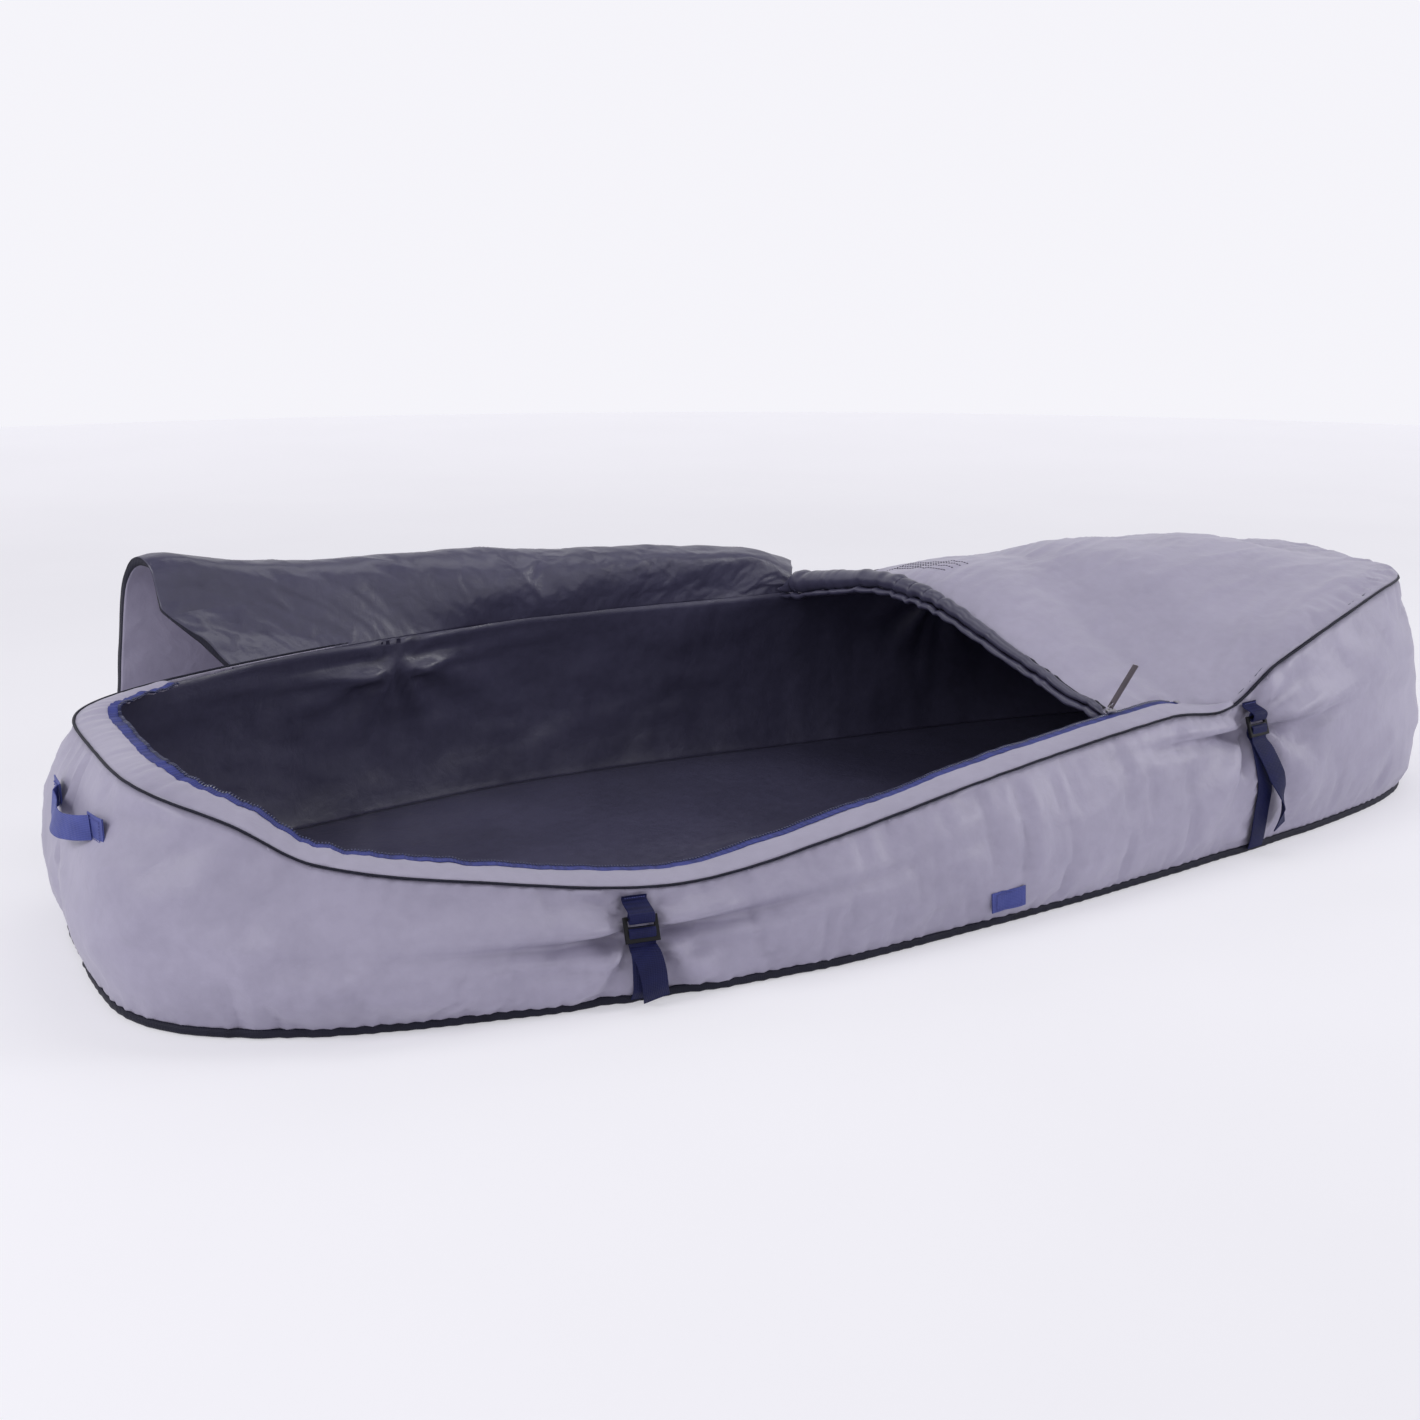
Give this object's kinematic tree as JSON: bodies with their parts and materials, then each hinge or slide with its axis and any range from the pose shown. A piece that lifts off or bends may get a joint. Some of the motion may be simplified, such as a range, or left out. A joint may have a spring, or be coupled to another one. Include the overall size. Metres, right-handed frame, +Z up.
{
  "type": "board bag",
  "caption": "Long padded board bag standing open: soft side wall, fixed nose deck, lid thrown back over the far side, rim zip, compression straps and tail handle.",
  "frame": {"origin": "middle of the base's underside, on the floor: midway between nose and tail, on the bag's centre line", "axes": "+X towards the nose along the bag, +Y towards the side that the lid is thrown over, +Z up"},
  "size_m": [2.3474, 1.3049, 0.4619],
  "materials": {
    "shell_fabric": "silver-lilac coated nylon, satin",
    "lining_fabric": "charcoal nylon, semi-gloss",
    "base_fabric": "black heavy nylon, matt",
    "foam": "grey closed-cell foam, matt",
    "webbing": "navy polyester webbing, woven",
    "zip_tape": "navy woven zip tape",
    "zip_teeth": "navy moulded teeth, satin",
    "buckle_plastic": "black moulded plastic, satin",
    "slider_metal": "die-cast metal, satin",
    "puller": "dark brown-grey moulded puller, satin",
    "binding": "black-navy bound seam, woven"
  },
  "bodies": {
    "shell": {"base_cover": "base_fabric", "base_foam": "foam", "base_lining": "lining_fabric", "bottom_binding": "binding", "deck_cover": "shell_fabric", "deck_edge_binding": "binding", "deck_foam": "foam", "deck_lining": "lining_fabric", "far_wall_foam": "foam", "near_wall_foam": "foam", "rim_strip": "shell_fabric", "rim_zip_tape": "zip_tape", "rim_zip_teeth": "zip_teeth", "side_tab_far": "webbing", "side_tab_near": "webbing", "side_wall_cover": "shell_fabric", "side_wall_lining": "lining_fabric", "strap_anchor_far_nose": "webbing", "strap_anchor_far_tail": "webbing", "strap_anchor_near_nose": "webbing", "strap_anchor_near_tail": "webbing", "strap_lower_far_nose": "webbing", "strap_lower_far_tail": "webbing", "strap_lower_near_nose": "webbing", "strap_lower_near_tail": "webbing", "strap_tail_far_nose": "webbing", "strap_tail_far_tail": "webbing", "strap_tail_near_nose": "webbing", "strap_tail_near_tail": "webbing", "tail_handle_patch_far": "webbing", "tail_handle_patch_near": "webbing", "tail_wall_foam": "foam", "top_seam_piping": "binding", "zip_end_stop": "slider_metal"},
    "ladder_lock_far_nose": {"ladder_lock_far_nose": "buckle_plastic"},
    "ladder_lock_far_tail": {"ladder_lock_far_tail": "buckle_plastic"},
    "ladder_lock_near_nose": {"ladder_lock_near_nose": "buckle_plastic"},
    "ladder_lock_near_tail": {"ladder_lock_near_tail": "buckle_plastic"},
    "lid_a": {"lid_binding_a": "binding", "lid_cover_a": "shell_fabric", "lid_foam_a": "foam", "lid_lining_a": "lining_fabric"},
    "lid_b": {"lid_binding_b": "binding", "lid_cover_b": "shell_fabric", "lid_foam_b": "foam", "lid_lining_b": "lining_fabric"},
    "lid_c": {"lid_binding_c": "binding", "lid_cover_c": "shell_fabric", "lid_foam_c": "foam", "lid_lining_c": "lining_fabric"},
    "lid_d": {"lid_binding_d": "binding", "lid_cover_d": "shell_fabric", "lid_foam_d": "foam", "lid_lining_d": "lining_fabric", "lid_zip_tape": "zip_tape"},
    "tail_handle": {"tail_handle": "webbing"},
    "zip_pull": {"zip_pull": "puller"},
    "zip_slider": {"zip_slider": "slider_metal"}
  },
  "joints": [
    {"name": "lid_opening", "type": "hinge", "parent": "shell", "child": "lid_a", "pos_m": [0, 0.44, 0.335], "axis": [1, 0, 0], "range_deg": [0, 97.5]},
    {"name": "lid_fold_front", "type": "hinge", "parent": "lid_a", "child": "lid_b", "pos_m": [0, 0.44, 0.42], "axis": [1, 0, 0], "range_deg": [0, 90.5]},
    {"name": "lid_fold_back", "type": "hinge", "parent": "lid_b", "child": "lid_c", "pos_m": [0, 0.56, 0.42], "axis": [1, 0, 0], "range_deg": [0, 90.5]},
    {"name": "lid_fold_floor", "type": "hinge", "parent": "lid_c", "child": "lid_d", "pos_m": [0, 0.56, 0.024], "axis": [1, 0, 0], "range_deg": [-90.5, 0]},
    {"name": "ladder_lock_far_nose_tilt", "type": "hinge", "parent": "shell", "child": "ladder_lock_far_nose", "pos_m": [0.55864, 0.4188, 0.31639], "axis": [0.9931, -0.1174, 0], "range_deg": [0, 60]},
    {"name": "ladder_lock_far_tail_tilt", "type": "hinge", "parent": "shell", "child": "ladder_lock_far_tail", "pos_m": [-0.55824, 0.44792, 0.28177], "axis": [0.9865, 0.1639, 0], "range_deg": [0, 60]},
    {"name": "ladder_lock_near_nose_tilt", "type": "hinge", "parent": "shell", "child": "ladder_lock_near_nose", "pos_m": [0.55899, -0.42169, 0.21959], "axis": [-0.9931, -0.1174, 0], "range_deg": [0, 60]},
    {"name": "ladder_lock_near_tail_tilt", "type": "hinge", "parent": "shell", "child": "ladder_lock_near_tail", "pos_m": [-0.55993, -0.45805, 0.11029], "axis": [-0.9865, 0.1639, 0], "range_deg": [0, 60]},
    {"name": "zip_slide", "type": "slide", "parent": "shell", "child": "zip_slider", "axis": [-0.9924, -0.0773, -0.0961], "range_m": [0, 0.3]},
    {"name": "zip_pull_flip", "type": "hinge", "parent": "zip_slider", "child": "zip_pull", "pos_m": [0.3, -0.3694, 0.25784], "axis": [0, 1, 0], "range_deg": [-110, 40]},
    {"name": "tail_handle_swing", "type": "hinge", "parent": "shell", "child": "tail_handle", "pos_m": [-1.15472, -0.05, 0.236], "axis": [0, 1, 0], "range_deg": [-40, 40]}
  ],
  "couplings": [
    {"joint": "lid_fold_front", "follows": "lid_opening", "ratio": 0.92308},
    {"joint": "lid_fold_back", "follows": "lid_opening", "ratio": 0.92308},
    {"joint": "lid_fold_floor", "follows": "lid_opening", "ratio": -0.92308}
  ]
}
